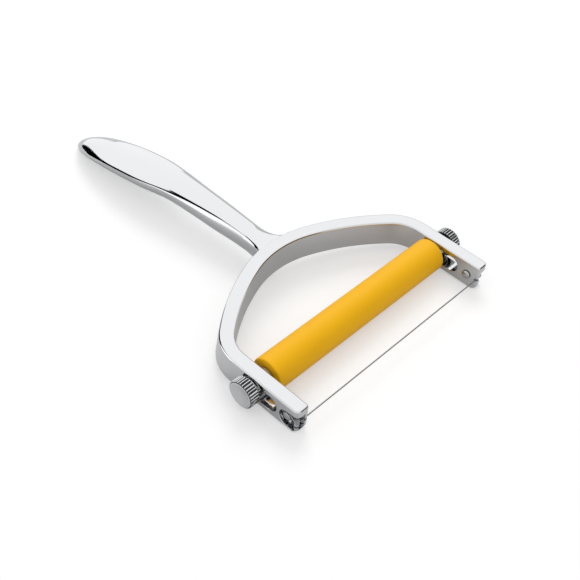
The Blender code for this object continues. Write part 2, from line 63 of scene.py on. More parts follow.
slot = {"web": 0.0014, "height": 0.0072, "depth": 0.0062, "backPlay": 0.0006, "travel": 0.0098,
        "mouthFlare": 0.00025}
axle = {"depth": 0.0059, "radius": 0.0030, "shoulderRadius": 0.0043, "shoulderLength": 0.0016,
        "threadDepth": 0.0130, "chamfer": 0.00015}
roller = {"radius": 0.00735, "wall": 0.0022, "edgeRound": 0.0006, "bushLength": 0.0100,
          "bushFit": 0.00004, "boreLip": 0.00015, "bushSoft": 0.0001}
thumb = {
    "radius": 0.00595, "thickness": 0.0044, "rimChamfer": 0.0004, "backChamfer": 0.0002,
    "knurlDepth": 0.00035, "ribs": 30, "stepsPerRib": 10, "screwRadius": 0.0020,
    "screwLength": 0.0110, "tipChamfer": 0.0004, "dishRadius": 0.0049, "dishDepth": 0.00006,
    "washerRadius": 0.0046, "washerThickness": 0.0006, "washerSoft": 0.0001,
}
gap = 0.0003          # running and seating gap between pieces
past = 0.001          # how far a cutter runs past a face
weld = 1e-6           # points closer than this are one
close = 1e-5          # how near a point is to a face to count as on it

armInner = fork["armGap"] / 2
armOuter = armInner + fork["thickness"]
tipY = -fork["reach"]
wireY = tipY + wire["setback"]
postX = armInner + pocket["wall"] + gap + wire["postRadius"]
postY = wireY + wire["radius"] + gap + wire["postRadius"]
pinY = tipY + wire["pinSetback"]
slotFront = tipY + pocket["length"] + slot["web"]
axleY = slotFront + axle["radius"] + gap + slot["travel"]
slotBack = axleY + axle["radius"] + gap + slot["backPlay"]
axleZ = -axle["depth"]
shoulderFace = armInner - gap
rollerEnd = shoulderFace - axle["shoulderLength"] - gap
boreRadius = roller["radius"] - roller["wall"]
washerFace = armOuter + gap
thumbFace = washerFace + thumb["washerThickness"] + gap

joints = {joint["name"]: joint for joint in frame["joints"]}
axleWorld = Vector(joints["roller_spin"]["pos_m"])
slideAxis = Vector(joints["axle_slide"]["axis"])          # points at the wire
tilt = atan2(-slideAxis.z, -slideAxis.y)
forkPlace = (Matrix.Translation(axleWorld) @ Matrix.Rotation(tilt, 4, "X")
             @ Matrix.Translation((0, -axleY, -axleZ)))


def linearColour(hexValue):
    levels = [int(hexValue[i:i + 2], 16) / 255 for i in (1, 3, 5)]
    return tuple(v / 12.92 if v <= 0.04045 else ((v + 0.055) / 1.055) ** 2.4 for v in levels) + (1,)


def addNode(tree, kind, settings=None, inputs=None):
    node = tree.nodes.new(kind)
    for name, value in (settings or {}).items():
        setattr(node, name, value)
    for name, value in (inputs or {}).items():
        if isinstance(value, bpy.types.NodeSocket):
            tree.links.new(value, node.inputs[name])
        else:
            node.inputs[name].default_value = value
    return node


def startMaterial(name, colour, metallic, roughness):
    material = bpy.data.materials.new(name)
    material.use_nodes = True
    shader = material.node_tree.nodes["Principled BSDF"]
    shader.inputs["Base Color"].default_value = linearColour(colour)
    shader.inputs["Metallic"].default_value = metallic
    shader.inputs["Roughness"].default_value = roughness
    return material, material.node_tree, shader


def meshObject(name, bm):
    bmesh.ops.recalc_face_normals(bm, faces=bm.faces)
    mesh = bpy.data.meshes.new(name)
    bm.to_mesh(mesh)
    bm.free()
    thing = bpy.data.objects.new(name, mesh)
    bpy.context.scene.collection.objects.link(thing)
    return thing


def evaluatedMesh(thing):
    graph = bpy.context.evaluated_depsgraph_get()
    return bpy.data.meshes.new_from_object(thing.evaluated_get(graph))


def finishPiece(thing, body, materials, nodes, sharpAngle=30):
    mesh = thing.data
    mesh.transform(forkPlace)
    mesh.materials.clear()
    for material in materials:
        mesh.materials.append(material)
    mesh.shade_smooth()
    mesh.set_sharp_from_angle(angle=radians(sharpAngle))
    weighted = thing.modifiers.new("face weights", "WEIGHTED_NORMAL")
    weighted.keep_sharp = True
    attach(thing, body)
    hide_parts(*nodes)
    return thing


def softCorners(profile, radius, steps=4):
    # the same open profile with each inner corner rounded off, by less than half an edge
    most = 0.45
    points = [profile[0]]
    for before, here, after in zip(profile, profile[1:], profile[2:]):
        a, b, c = Vector(before), Vector(here), Vector(after)
        reach = min(radius, (a - b).length * most, (c - b).length * most)
        start = b + (a - b).normalized() * reach
        end = b + (c - b).normalized() * reach
        for i in range(steps + 1):
            t = i / steps
            points.append(tuple(start * (1 - t) ** 2 + b * 2 * t * (1 - t) + end * t ** 2))
    return points + [profile[-1]]


def turnedShape(profile, steps, ring=False):
    # (x, radius) pairs spun about the X axis
    bm = bmesh.new()
    verts = [bm.verts.new((x, 0, r)) for x, r in profile]
    follow = verts[1:] + verts[:1] if ring else verts[1:]
    edges = [bm.edges.new(pair) for pair in zip(verts, follow)]
    bmesh.ops.spin(bm, geom=verts + edges, cent=(0, 0, 0), axis=(1, 0, 0), dvec=(0, 0, 0),
                   angle=2 * pi, steps=steps, use_merge=True)
    bmesh.ops.remove_doubles(bm, verts=bm.verts, dist=weld)
    bmesh.ops.recalc_face_normals(bm, faces=bm.faces)
    return bm


def smoothRow(rows, along):
    # every column of a table at a place along it, on one smooth curve
    last = len(rows) - 1
    i = max(k for k in range(last) if rows[k][0] <= along or k == 0)
    x0, x1 = rows[i][0], rows[i + 1][0]
    t = (along - x0) / (x1 - x0)
    row = []
    for before, a, b, after in zip(rows[max(i - 1, 0)], rows[i], rows[i + 1], rows[min(i + 2, last)]):
        slopeA = (b - before) / (x1 - rows[max(i - 1, 0)][0]) * (x1 - x0)
        slopeB = (after - a) / (rows[min(i + 2, last)][0] - x0) * (x1 - x0)
        row.append((2 * t**3 - 3 * t**2 + 1) * a + (t**3 - 2 * t**2 + t) * slopeA
                   + (3 * t**2 - 2 * t**3) * b + (t**3 - t**2) * slopeB)
    return row[1:]


def chromePlate():
    # Zinc casting, buffed and chrome plated: mirror bright, with the faint ripple and the
    # slightly uneven haze that hand buffing leaves
    material, tree, shader = startMaterial("chrome_plate", "#D4D5D7", 1.0, 0.07)
    place = addNode(tree, "ShaderNodeTexCoord").outputs["Object"]
    haze = addNode(tree, "ShaderNodeTexNoise", inputs={"Vector": place, "Scale": 1 / 0.014, "Detail": 4.0})
    rough = addNode(tree, "ShaderNodeMapRange", inputs={
        "Value": haze.outputs["Fac"], "From Min": 0.3, "From Max": 0.7, "To Min": 0.05, "To Max": 0.10})
    ripple = addNode(tree, "ShaderNodeTexNoise", inputs={"Vector": place, "Scale": 1 / 0.005, "Detail": 1.0})
    bump = addNode(tree, "ShaderNodeBump", inputs={
        "Height": ripple.outputs["Fac"], "Strength": 0.25, "Distance": 0.00002})
    tree.links.new(rough.outputs["Result"], shader.inputs["Roughness"])
    tree.links.new(bump.outputs["Normal"], shader.inputs["Normal"])
    return material


def turnedFace():
    # Thumb screw face: turned brass under satin nickel, so fine rings soften what it mirrors
    material, tree, shader = startMaterial("turned_nickel_face", "#DADBDC", 1.0, 0.30)
    place = addNode(tree, "ShaderNodeTexCoord").outputs["Object"]
    centred = addNode(tree, "ShaderNodeMapping", inputs={"Vector": place, "Location": -axleWorld})
    # real feed marks are 0.1 mm apart; they are drawn at 0.35 mm to show at all
    rings = addNode(tree, "ShaderNodeTexWave", {"wave_type": "RINGS", "rings_direction": "X"}, {
        "Vector": centred.outputs["Vector"], "Scale": 0.314 / 0.00035, "Distortion": 0.4, "Detail": 1.0})
    bump = addNode(tree, "ShaderNodeBump", inputs={
        "Height": rings.outputs["Fac"], "Strength": 0.3, "Distance": 0.000008})
    rough = addNode(tree, "ShaderNodeMapRange", inputs={
        "Value": rings.outputs["Fac"], "To Min": 0.27, "To Max": 0.33})
    tree.links.new(rough.outputs["Result"], shader.inputs["Roughness"])
    tree.links.new(bump.outputs["Normal"], shader.inputs["Normal"])
    return material


def knurledNickel():
    # Rolled knurl under bright nickel: crisp ribs, rougher in the grooves where buffing can't reach, with
    # painted shade that darkens the grooves towards the root
    material, tree, shader = startMaterial("knurled_nickel", "#C4C5C6", 1.0, 0.12)
    place = addNode(tree, "ShaderNodeTexCoord").outputs["Object"]
    centred = addNode(tree, "ShaderNodeMapping", inputs={"Vector": place, "Location": -axleWorld})
    across = addNode(tree, "ShaderNodeVectorMath", {"operation": "MULTIPLY"}, {
        0: centred.outputs["Vector"], 1: (0, 1, 1)})
    radius = addNode(tree, "ShaderNodeVectorMath", {"operation": "LENGTH"}, {
        0: across.outputs["Vector"]})
    # mask from the knurl's root to its crests, for the painted groove shade and for roughness
    grooveShadeMask = addNode(tree, "ShaderNodeMapRange", inputs={
        "Value": radius.outputs["Value"], "From Min": thumb["radius"] - thumb["knurlDepth"],
        "From Max": thumb["radius"] - 0.3 * thumb["knurlDepth"]})
    # painted shade: the base colour runs from near black at the knurl's root to bright at the crests
    tint = addNode(tree, "ShaderNodeMix", {"data_type": "RGBA"}, {
        "Factor": grooveShadeMask.outputs["Result"], "A": linearColour("#3A3A3C"), "B": linearColour("#CFD0D1")})
    rough = addNode(tree, "ShaderNodeMapRange", inputs={
        "Value": grooveShadeMask.outputs["Result"], "To Min": 0.34, "To Max": 0.10})
    tree.links.new(tint.outputs["Result"], shader.inputs["Base Color"])
    tree.links.new(rough.outputs["Result"], shader.inputs["Roughness"])
    return material


def drawnSteel():
    # Stainless wire and pins drawn through a die: fine lines run along the length
    material, tree, shader = startMaterial("drawn_stainless", "#9C9D9F", 1.0, 0.20)
    place = addNode(tree, "ShaderNodeTexCoord").outputs["Object"]
    # die lines 0.05 mm apart and some 6 mm long
    drawn = addNode(tree, "ShaderNodeMapping", inputs={
        "Vector": place, "Scale": (1 / 0.006, 1 / 0.00005, 1 / 0.00005)})
    lines = addNode(tree, "ShaderNodeTexNoise", inputs={
        "Vector": drawn.outputs["Vector"], "Scale": 1.0, "Detail": 2.0})
    rough = addNode(tree, "ShaderNodeMapRange", inputs={
        "Value": lines.outputs["Fac"], "To Min": 0.14, "To Max": 0.28})
    tree.links.new(rough.outputs["Result"], shader.inputs["Roughness"])
    return material


def turnedSteel():
    # Stainless bar turned on a lathe: feed rings lie across the axle
    material, tree, shader = startMaterial("turned_stainless", "#B4B5B7", 1.0, 0.24)
    place = addNode(tree, "ShaderNodeTexCoord").outputs["Object"]
    # feed marks drawn 0.25 mm apart
    feed = addNode(tree, "ShaderNodeTexWave", {"wave_type": "BANDS", "bands_direction": "X"}, {
        "Vector": place, "Scale": 0.314 / 0.00025, "Distortion": 1.0, "Detail": 1.0})
    rough = addNode(tree, "ShaderNodeMapRange", inputs={
        "Value": feed.outputs["Fac"], "To Min": 0.20, "To Max": 0.30})
    bump = addNode(tree, "ShaderNodeBump", inputs={
        "Height": feed.outputs["Fac"], "Strength": 0.3, "Distance": 0.000006})
    tree.links.new(rough.outputs["Result"], shader.inputs["Roughness"])
    tree.links.new(bump.outputs["Normal"], shader.inputs["Normal"])
    return material


def yellowAcetal():
    # Moulded acetal roller: even deep yellow, a waxy sheen and the fine grain of a spark eroded mould
    material, tree, shader = startMaterial("yellow_acetal", "#FABB00", 0.0, 0.42)
    shader.inputs["Specular IOR Level"].default_value = 0.2
    place = addNode(tree, "ShaderNodeTexCoord").outputs["Object"]
    cloud = addNode(tree, "ShaderNodeTexNoise", inputs={"Vector": place, "Scale": 1 / 0.020, "Detail": 3.0})
    tint = addNode(tree, "ShaderNodeMix", {"data_type": "RGBA"}, {
        "Factor": cloud.outputs["Fac"], "A": linearColour("#F9B700"), "B": linearColour("#FCBE02")})
    grain = addNode(tree, "ShaderNodeTexNoise", inputs={"Vector": place, "Scale": 1 / 0.0003, "Detail": 2.0})
    bump = addNode(tree, "ShaderNodeBump", inputs={
        "Height": grain.outputs["Fac"], "Strength": 0.35, "Distance": 0.00001})
    rough = addNode(tree, "ShaderNodeMapRange", inputs={
        "Value": grain.outputs["Fac"], "To Min": 0.38, "To Max": 0.48})
    tree.links.new(tint.outputs["Result"], shader.inputs["Base Color"])
    tree.links.new(rough.outputs["Result"], shader.inputs["Roughness"])
    tree.links.new(bump.outputs["Normal"], shader.inputs["Normal"])
    return material


chrome = chromePlate()
nickelFace = turnedFace()
nickelKnurl = knurledNickel()
wireSteel = drawnSteel()
barSteel = turnedSteel()
yellow = yellowAcetal()
print("materials made")


def edgesOf(items):
    return [item for item in items if isinstance(item, bmesh.types.BMEdge)]


def vertsOf(items):
    return [item for item in items if isinstance(item, bmesh.types.BMVert)]


def forkShape():
    thickness, height = fork["thickness"], fork["height"]
    crown, flank = fork["crownRadius"], fork["flankRadius"]
    crownTurn, turn = fork["crownTurn"], fork["crownTurn"] + fork["flankTurn"]
    flankCentre = Vector((-(flank - crown) * sin(crownTurn),
                          -crown - (flank - crown) * cos(crownTurn), 0))
    corner = (armInner - flankCentre.x - flank * sin(turn)) / (1 - sin(turn))
    cornerCentre = flankCentre + Vector((sin(turn), cos(turn), 0)) * (flank - corner)
    arcs = (
        (Vector((0, -crown, 0)), crownTurn, fork["crownSteps"]),
        (flankCentre, fork["flankTurn"], fork["flankSteps"]),
        (cornerCentre, pi / 2 - turn, fork["cornerSteps"]),
    )

    # the band's section at the crown, swept round the three arcs and out along the arm
    bm = bmesh.new()
    bmesh.ops.create_grid(bm, x_segments=1, y_segments=1, size=0.5)
    upright = Matrix(((0, 0, 1, 0), (1, 0, 0, 0), (0, 1, 0, 0), (0, 0, 0, 1)))
    bmesh.ops.transform(bm, matrix=upright, verts=bm.verts)
    bmesh.ops.scale(bm, vec=(1, thickness, height), verts=bm.verts)
    bmesh.ops.translate(bm, vec=(0, thickness / 2, -height / 2), verts=bm.verts)
    bmesh.ops.delete(bm, geom=bm.faces[:], context="FACES_ONLY")
    ring = bm.verts[:] + bm.edges[:]
    for centre, angle, steps in arcs:
        ring = bmesh.ops.spin(bm, geom=ring, cent=centre, axis=(0, 0, 1), dvec=(0, 0, 0),
                              angle=-angle, steps=steps, use_merge=False)["geom_last"]
    run = cornerCentre.y - tipY
    for share in (0.25, 0.35, 0.4):
        grown = bmesh.ops.extrude_edge_only(bm, edges=edgesOf(ring))["geom"]
        fresh = set(vertsOf(grown))
        ring = [edge for edge in edgesOf(grown) if fresh.issuperset(edge.verts)]
        bmesh.ops.translate(bm, vec=(0, -run * share, 0), verts=list(fresh))
    bmesh.ops.contextual_create(bm, geom=ring)
    bmesh.ops.mirror(bm, geom=bm.verts[:] + bm.edges[:] + bm.faces[:], matrix=Matrix.Identity(4),
                     merge_dist=weld, axis="X")
    bmesh.ops.remove_doubles(bm, verts=bm.verts, dist=weld)
    bmesh.ops.recalc_face_normals(bm, faces=bm.faces)

    # the arch's outer wall leans out at its foot
    bm.normal_update()
    heart = Vector((0, tipY / 2, 0))
    for vert in bm.verts:
        outward = Vector((vert.normal.x, vert.normal.y, 0)).normalized()
        if vert.co.z < -height / 2 and outward.dot(vert.co - heart) > 0 and outward.y > 0:
            vert.co += outward * fork["lean"] * min(1, outward.y / cos(turn))

    # tip corners, then the rims
    for x, offset, steps in ((armOuter, fork["tipOuterRound"], 9), (armInner, fork["tipInnerRound"], 6)):
        corners = [edge for edge in bm.edges
                   if all(abs(v.co.y - tipY) < close and abs(abs(v.co.x) - x) < close
                          for v in edge.verts)]
        bmesh.ops.bevel(bm, geom=corners, offset=offset, affect="EDGES", segments=steps,
                        profile=0.5, material=-1)
    for level, offset in ((0, fork["rimRound"]), (-height, fork["footRound"])):
        bm.normal_update()
        rims = [edge for edge in bm.edges if len(edge.link_faces) == 2
                and all(abs(v.co.z - level) < close for v in edge.verts)
                and abs(abs(edge.link_faces[0].normal.z) - abs(edge.link_faces[1].normal.z)) > 0.5]
        bmesh.ops.bevel(bm, geom=rims, offset=offset, affect="EDGES",
                        segments=fork["rimSteps"], profile=0.5, material=-1)

    # the lower half of each tip curves back under
    steps = 12
    for i in range(1, steps):
        level = -height + fork["bowHeight"] * (1 - sin(i / steps * pi / 2))
        bmesh.ops.bisect_plane(bm, geom=bm.verts[:] + bm.edges[:] + bm.faces[:], dist=1e-7,
                               plane_co=(0, 0, level), plane_no=(0, 0, 1))
    for vert in bm.verts:
        sunk = (-height + fork["bowHeight"] - vert.co.z) / fork["bowHeight"]
        if sunk > 0 and vert.co.y < tipY + fork["tipOuterRound"] + close:
            vert.co.y += fork["bowLength"] * (1 - sqrt(max(0, 1 - min(sunk, 1) ** 2)))
    return bm


# share along the handle, then half width, drop of the crease, depth below it, panel's half
# width and side line, as shares
handle = {
    "length": 0.1328, "width": 0.0216, "depth": 0.0104, "drop": 0.0220, "noseLength": 0.0109,
    "neckFillet": 0.0042, "neckSkin": 0.00002, "panelCrown": 0.0006, "crownLimit": 0.1,
    "rootSquareness": 0.25, "gripSquareness": 0.85,
    "creaseSlope": radians(20), "creaseLimit": 0.7, "shoulderPull": 0.5, "sidePull": 0.55,
    "rows": (
        (0.088, 0.484, 0.118, 0.990, 0.76, 0.17), (0.130, 0.512, 0.110, 0.982, 0.73, 0.18),
        (0.216, 0.606, 0.109, 0.978, 0.67, 0.23), (0.330, 0.680, 0.140, 0.901, 0.73, 0.19),
        (0.440, 0.786, 0.193, 0.808, 0.74, 0.12), (0.554, 0.962, 0.291, 0.809, 0.66, 0.13),
        (0.660, 0.996, 0.399, 0.803, 0.58, 0.15), (0.760, 0.948, 0.516, 0.786, 0.48, 0.19),
        (0.859, 0.815, 0.625, 0.780, 0.38, 0.36), (0.930, 0.590, 0.757, 0.748, 0.25, 0.42),
        (1.000, 0.316, 0.985, 0.682, 0.15, 0.45)),
    "panelSteps": 20, "shoulderSteps": 9, "underSteps": 34,
    "filletSteps": 18, "gripSteps": 84, "noseSteps": 18,
}


def handleSection(y, half, edge, bottom, panel, side, crown, squareness):
    # crowned panel, a crease, a shoulder that turns down to the widest line, and the underside
    width, height = half - panel, edge - side
    slope = min(handle["creaseSlope"], atan2(height, width) * handle["creaseLimit"])
    start, end = Vector((panel, edge)), Vector((half, side))
    pulls = (start, start + Vector((cos(slope), -sin(slope))) * width * handle["shoulderPull"],
             end + Vector((0, height * handle["sidePull"])), end)
    turnDown = []
    for i in range(1, handle["shoulderSteps"]):
        t = i / handle["shoulderSteps"]
        turnDown.append(pulls[0] * (1 - t)**3 + pulls[1] * 3 * t * (1 - t)**2
                        + pulls[2] * 3 * t**2 * (1 - t) + pulls[3] * t**3)
    ring = []
    for i in range(handle["panelSteps"] + 1):
        share = 2 * i / handle["panelSteps"] - 1
        ring.append((panel * share, edge + crown * (1 - share * share)))
    ring += [tuple(point) for point in turnDown]
    for i in range(handle["underSteps"] + 1):
        a = i / handle["underSteps"] * pi
        run = abs(cos(a)) ** squareness * (1 if a < pi / 2 else -1)
        ring.append((half * run, side - (side - bottom) * abs(sin(a)) ** squareness))
    ring += [(-point.x, point.y) for point in turnDown[::-1]]
    return [Vector((x, y, z)) for x, z in ring]


def handleStations():
    halfWidth = handle["width"] / 2
    neckAlong, neckWidth, neckDrop, neckDepth, neckPanel, neckSide = handle["rows"][0]
    neckHalf = neckWidth * halfWidth
    neckEdge = -neckDrop * handle["drop"]
    thick = neckDepth * handle["depth"]
    neckY = fork["thickness"] + neckAlong * handle["length"]
    outerRadius = fork["crownRadius"] + fork["thickness"]
    rootHalf = neckHalf + handle["neckFillet"]
    rootY = fork["thickness"] - outerRadius + sqrt(outerRadius**2 - rootHalf**2)
    skin = handle["neckSkin"]
    # half width, crease, bottom, panel, side line, crown and squareness at the neck's two ends
    root = (rootHalf, -skin, skin - fork["height"], rootHalf - fork["rimRound"],
            -skin - fork["rimRound"], 0, handle["rootSquareness"])
    neck = (neckHalf, neckEdge, neckEdge - thick, neckHalf * neckPanel,
            neckEdge - thick * neckSide, handle["panelCrown"], handle["gripSquareness"])
    stations = []
    for i in range(handle["filletSteps"] + 1):
        a = i / handle["filletSteps"] * pi / 2
        flare = 1 - sin(a)
        sizes = [n * (1 - flare) + r * flare for n, r in zip(neck, root)]
        stations.append(handleSection(rootY + (neckY - rootY) * (1 - cos(a)), *sizes))
    noseStart = 1 - handle["noseLength"] / handle["length"]
    places = [neckAlong + (noseStart - neckAlong) * i / handle["gripSteps"]
              for i in range(1, handle["gripSteps"] + 1)]
    places += [noseStart + (1 - noseStart) * sin(i / handle["noseSteps"] * pi / 2)
               for i in range(1, handle["noseSteps"] + 1)]
    for along in places:
        width, drop, depth, panel, side = smoothRow(handle["rows"], along)
        intoNose = max(along - noseStart, 0) / (1 - noseStart)
        cap = sqrt(max(0, 1 - intoNose**2))
        half = width * halfWidth * cap
        rise = depth * handle["depth"] / 2 * cap
        middle = -drop * handle["drop"] - depth * handle["depth"] / 2
        stations.append(handleSection(
            fork["thickness"] + along * handle["length"], half, middle + rise, middle - rise,
            panel * half, middle + rise * (1 - 2 * side),
            min(handle["panelCrown"], panel * half * handle["crownLimit"]),
            handle["gripSquareness"]))
    # one section inside the arch, so that the union runs through its wall
    inside = [point - Vector((0, fork["thickness"] / 4, 0)) for point in stations[0]]
    return [inside] + stations


def handleShape():
    # a flat grid is wrapped round the sections; its last row closes into the tail
    stations = handleStations()
    around = len(stations[0])
    bm = bmesh.new()
    bmesh.ops.create_grid(bm, x_segments=around, y_segments=len(stations) - 1, size=0.5)
    for vert in bm.verts:
        station = stations[round((vert.co.y + 0.5) * (len(stations) - 1))]
        vert.co = station[round((vert.co.x + 0.5) * around) % around]
    bmesh.ops.remove_doubles(bm, verts=bm.verts, dist=1e-7)
    root = [edge for edge in bm.edges if len(edge.link_faces) == 1]
    bmesh.ops.contextual_create(bm, geom=root)
    bmesh.ops.recalc_face_normals(bm, faces=bm.faces)
    return bm


def roundCutter(name, low, high, radius, y, z, stretch, flares, steps=48):
    # a hole along X with softly flared mouths, drawn out forwards by stretch
    profile = [(low, 0.0), (low, radius + flares[0])]
    if flares[0]:
        profile += [(low + past + flares[0] * (1 - cos(i / 5 * pi / 2)),
                     radius + flares[0] * (1 - sin(i / 5 * pi / 2))) for i in range(6)]
    if flares[1]:
        profile += [(high - past - flares[1] * (1 - sin(i / 5 * pi / 2)),
                     radius + flares[1] * (1 - cos(i / 5 * pi / 2))) for i in range(6)]
    profile += [(high, radius + flares[1]), (high, 0.0)]
    bm = turnedShape(profile, steps)
    for vert in bm.verts:
        if vert.co.y < -weld:
            vert.co.y -= stretch
    bmesh.ops.translate(bm, vec=(0, y, z), verts=bm.verts)
    return meshObject(name, bm)


def castingPiece():
    casting = meshObject("polished_casting", forkShape())
    grip = meshObject("grip_form", handleShape())
    slotRadius = slot["height"] / 2
    slotStretch = slotBack - slotFront - slot["height"]
    pocketRadius = pocket["height"] / 2
    pocketY = tipY + pocket["length"] - pocketRadius
    pinHole = wire["pinRadius"] + gap
    flare = slot["mouthFlare"]
    tools = [grip]
    for side in (-1, 1):
        reach = (armInner - past, armOuter + past) if side > 0 else (-armOuter - past, -armInner + past)
        tools.append(roundCutter("slot_cut", *reach, slotRadius, slotBack - slotRadius,
                                 -slot["depth"], slotStretch, (flare, flare)))
        tools.append(roundCutter("pin_cut", *reach, pinHole, pinY, -wire["pinDepth"], 0, (0, 0), 32))
        floor = armInner + pocket["wall"]
        if side > 0:
            tools.append(roundCutter("pocket_cut", floor, armOuter + past, pocketRadius, pocketY,
                                     -pocket["depth"], pocket["length"], (0, flare)))
        else:
            tools.append(roundCutter("pocket_cut", -armOuter - past, -floor, pocketRadius, pocketY,
                                     -pocket["depth"], pocket["length"], (flare, 0)))
    slit = bmesh.new()
    bmesh.ops.create_cube(slit, size=1)
    bmesh.ops.scale(slit, vec=(2 * (armOuter + past), wire["slitDepth"] + past, wire["slitHeight"]),
                    verts=slit.verts)
    bmesh.ops.translate(slit, vec=(0, tipY + (wire["slitDepth"] - past) / 2, -wire["depth"]),
                        verts=slit.verts)
    backEdges = [edge for edge in slit.edges
                 if all(v.co.y > tipY for v in edge.verts) and edge.verts[0].co.x * edge.verts[1].co.x < 0]
    bmesh.ops.bevel(slit, geom=backEdges, offset=wire["slitHeight"] * 0.48, affect="EDGES",
                    segments=6, profile=0.5, material=-1)
    tools.append(meshObject("slit_cut", slit))
    for tool in tools:
        cut = casting.modifiers.new(tool.name, "BOOLEAN")
        cut.operation = "UNION" if tool == grip else "DIFFERENCE"
        cut.solver = "EXACT"
        cut.object = tool
    casting.data = evaluatedMesh(casting)
    casting.modifiers.clear()
    for tool in tools:
        bpy.data.objects.remove(tool)
    return finishPiece(casting, "frame", [chrome], ["frame_casting"], 22)


castingPiece()
print("casting made")


def arcPoints(centre, radius, start, end, steps):
    turn = [start + (end - start) * i / steps for i in range(steps + 1)]
    return [(centre[0] + radius * cos(a), centre[1] + radius * sin(a)) for a in turn]


def wireLine():
    # right half of the wire: across the gap, round the post, over to the pin and round it
    postTurn = wire["postRadius"] + gap + wire["radius"]
    pinTurn = wire["pinRadius"] + gap + wire["radius"]
    loopX = postX + postTurn
    line = [Vector((postX * i / 12, wireY, -wire["depth"])) for i in range(1, 12)]
    line += [Vector((x, y, -wire["depth"]))
             for x, y in arcPoints((postX, postY), postTurn, -pi / 2, 0, 14)]
    loop = [Vector((loopX, y, z))
            for y, z in arcPoints((pinY, -wire["pinDepth"]), pinTurn, pi / 2, -pi / 2, 24)]
    leave, arrive = line[-1], loop[0]
    reach = Vector((0, (arrive.y - leave.y) / 2, 0))
    for i in range(1, 12):
        t = i / 12
        line.append(leave * (1 - t)**3 + (leave + reach) * 3 * t * (1 - t)**2
                    + (arrive - reach) * 3 * t**2 * (1 - t) + arrive * t**3)
    tail = loop[-1] - Vector((0, wire["ferruleLength"] + wire["pinRadius"] + gap + wire["radius"], 0))
    return line + loop + [loop[-1].lerp(tail, 0.5), tail]


def wirePiece():
    right = wireLine()
    line = [Vector((-p.x, p.y, p.z)) for p in right[::-1]] + [Vector((0, wireY, -wire["depth"]))] + right
    curve = bpy.data.curves.new("taut_wire", "CURVE")
    curve.dimensions = "3D"
    curve.bevel_depth = wire["radius"]
    curve.bevel_resolution = 4
    curve.use_fill_caps = True
    spline = curve.splines.new("POLY")
    spline.points.add(len(line) - 1)
    for point, place in zip(spline.points, line):
        point.co = (*place, 1)
    sweep = bpy.data.objects.new("wire_sweep", curve)
    bpy.context.scene.collection.objects.link(sweep)
    thing = bpy.data.objects.new("taut_wire", evaluatedMesh(sweep))
    bpy.context.scene.collection.objects.link(thing)
    bpy.data.objects.remove(sweep)
    return finishPiece(thing, "frame", [wireSteel], ["cutting_wire"], 60)


def anchorPieces(side, name):
    reach = pocket["height"] / 2 - gap
    radius = wire["postRadius"]
    post = turnedShape(softCorners([(-reach, 0), (-reach, radius), (reach, radius), (reach, 0)],
                                   wire["postSoft"]), 48)
    bmesh.ops.rotate(post, cent=(0, 0, 0), matrix=Matrix.Rotation(pi / 2, 3, "Y"), verts=post.verts)
    bmesh.ops.translate(post, vec=(side * postX, postY, -pocket["depth"]), verts=post.verts)
    finishPiece(meshObject(name + "_turning_post", post), "frame", [barSteel],
                [name + "_wire_post"])

    seat = armInner - gap
    dome = [(seat - wire["domeHeight"] * cos(i / 12 * pi / 2), wire["domeRadius"] * sin(i / 12 * pi / 2))
            for i in range(12)]
    shank, head = wire["pinRadius"], wire["headRadius"]
    headX = postX + wire["postRadius"] + gap + 2 * wire["radius"] + gap
    body = softCorners([(seat, wire["domeRadius"]), (seat, shank), (headX, shank), (headX, head),
                        (headX + wire["headThickness"] * 0.2, head)], wire["pinSoft"], 3)
    crown = [(headX + wire["headThickness"] * (0.2 + 0.8 * cos(i / 10 * pi / 2)),
              head * sin(i / 10 * pi / 2)) for i in range(9, -1, -1)]
    pin = turnedShape([(side * x, r) for x, r in dome + body + crown], 48)
    bmesh.ops.translate(pin, vec=(0, pinY, -wire["pinDepth"]), verts=pin.verts)
    finishPiece(meshObject(name + "_domed_pin", pin), "frame", [barSteel],
                [name + "_anchor_pin"])

    inner, outer, half = wire["radius"] + gap, wire["ferruleRadius"], wire["ferruleLength"] / 2
    soft, waist = wire["crimpSoft"], wire["crimpWaist"]
    walls = [(-half, inner), (-half, outer - soft), (-half + soft, outer), (-waist, outer),
             (0, outer - soft), (waist, outer), (half - soft, outer), (half, outer - soft),
             (half, inner)]
    crimp = turnedShape(walls, 36, ring=True)
    bmesh.ops.rotate(crimp, cent=(0, 0, 0), matrix=Matrix.Rotation(pi / 2, 3, "Z"), verts=crimp.verts)
    place = (side * (postX + wire["postRadius"] + gap + wire["radius"]),
             pinY - shank - gap - half, -wire["pinDepth"] - wire["pinRadius"] - gap - wire["radius"])
    bmesh.ops.translate(crimp, vec=place, verts=crimp.verts)
    finishPiece(meshObject(name + "_crimp", crimp), "frame", [barSteel],
                [name + "_wire_ferrule"])


wirePiece()
for side, name in ((-1, "left"), (1, "right")):
    anchorPieces(side, name)
print("wire and anchors made")


def onAxle(bm):
    bmesh.ops.translate(bm, vec=(0, axleY, axleZ), verts=bm.verts)
    return bm


def axlePiece():
    nose, shoulder, chamfer = axle["radius"], axle["shoulderRadius"], axle["chamfer"]
    noseEnd = armOuter - gap
    tap = thumb["screwRadius"] + gap
    inner = shoulderFace - axle["shoulderLength"]
    right = [(inner, nose), (inner, shoulder - chamfer), (inner + chamfer, shoulder),
             (shoulderFace - chamfer, shoulder), (shoulderFace, shoulder - chamfer),
             (shoulderFace, nose), (noseEnd - 2 * chamfer, nose), (noseEnd, nose - 2 * chamfer),
             (noseEnd, tap), (noseEnd - axle["threadDepth"], tap), (noseEnd - axle["threadDepth"], 0)]
    rod = turnedShape([(-x, r) for x, r in right[::-1]] + right, 96)
    finishPiece(meshObject("turned_axle", onAxle(rod)), "carriage", [barSteel],
                ["roller_axle"])


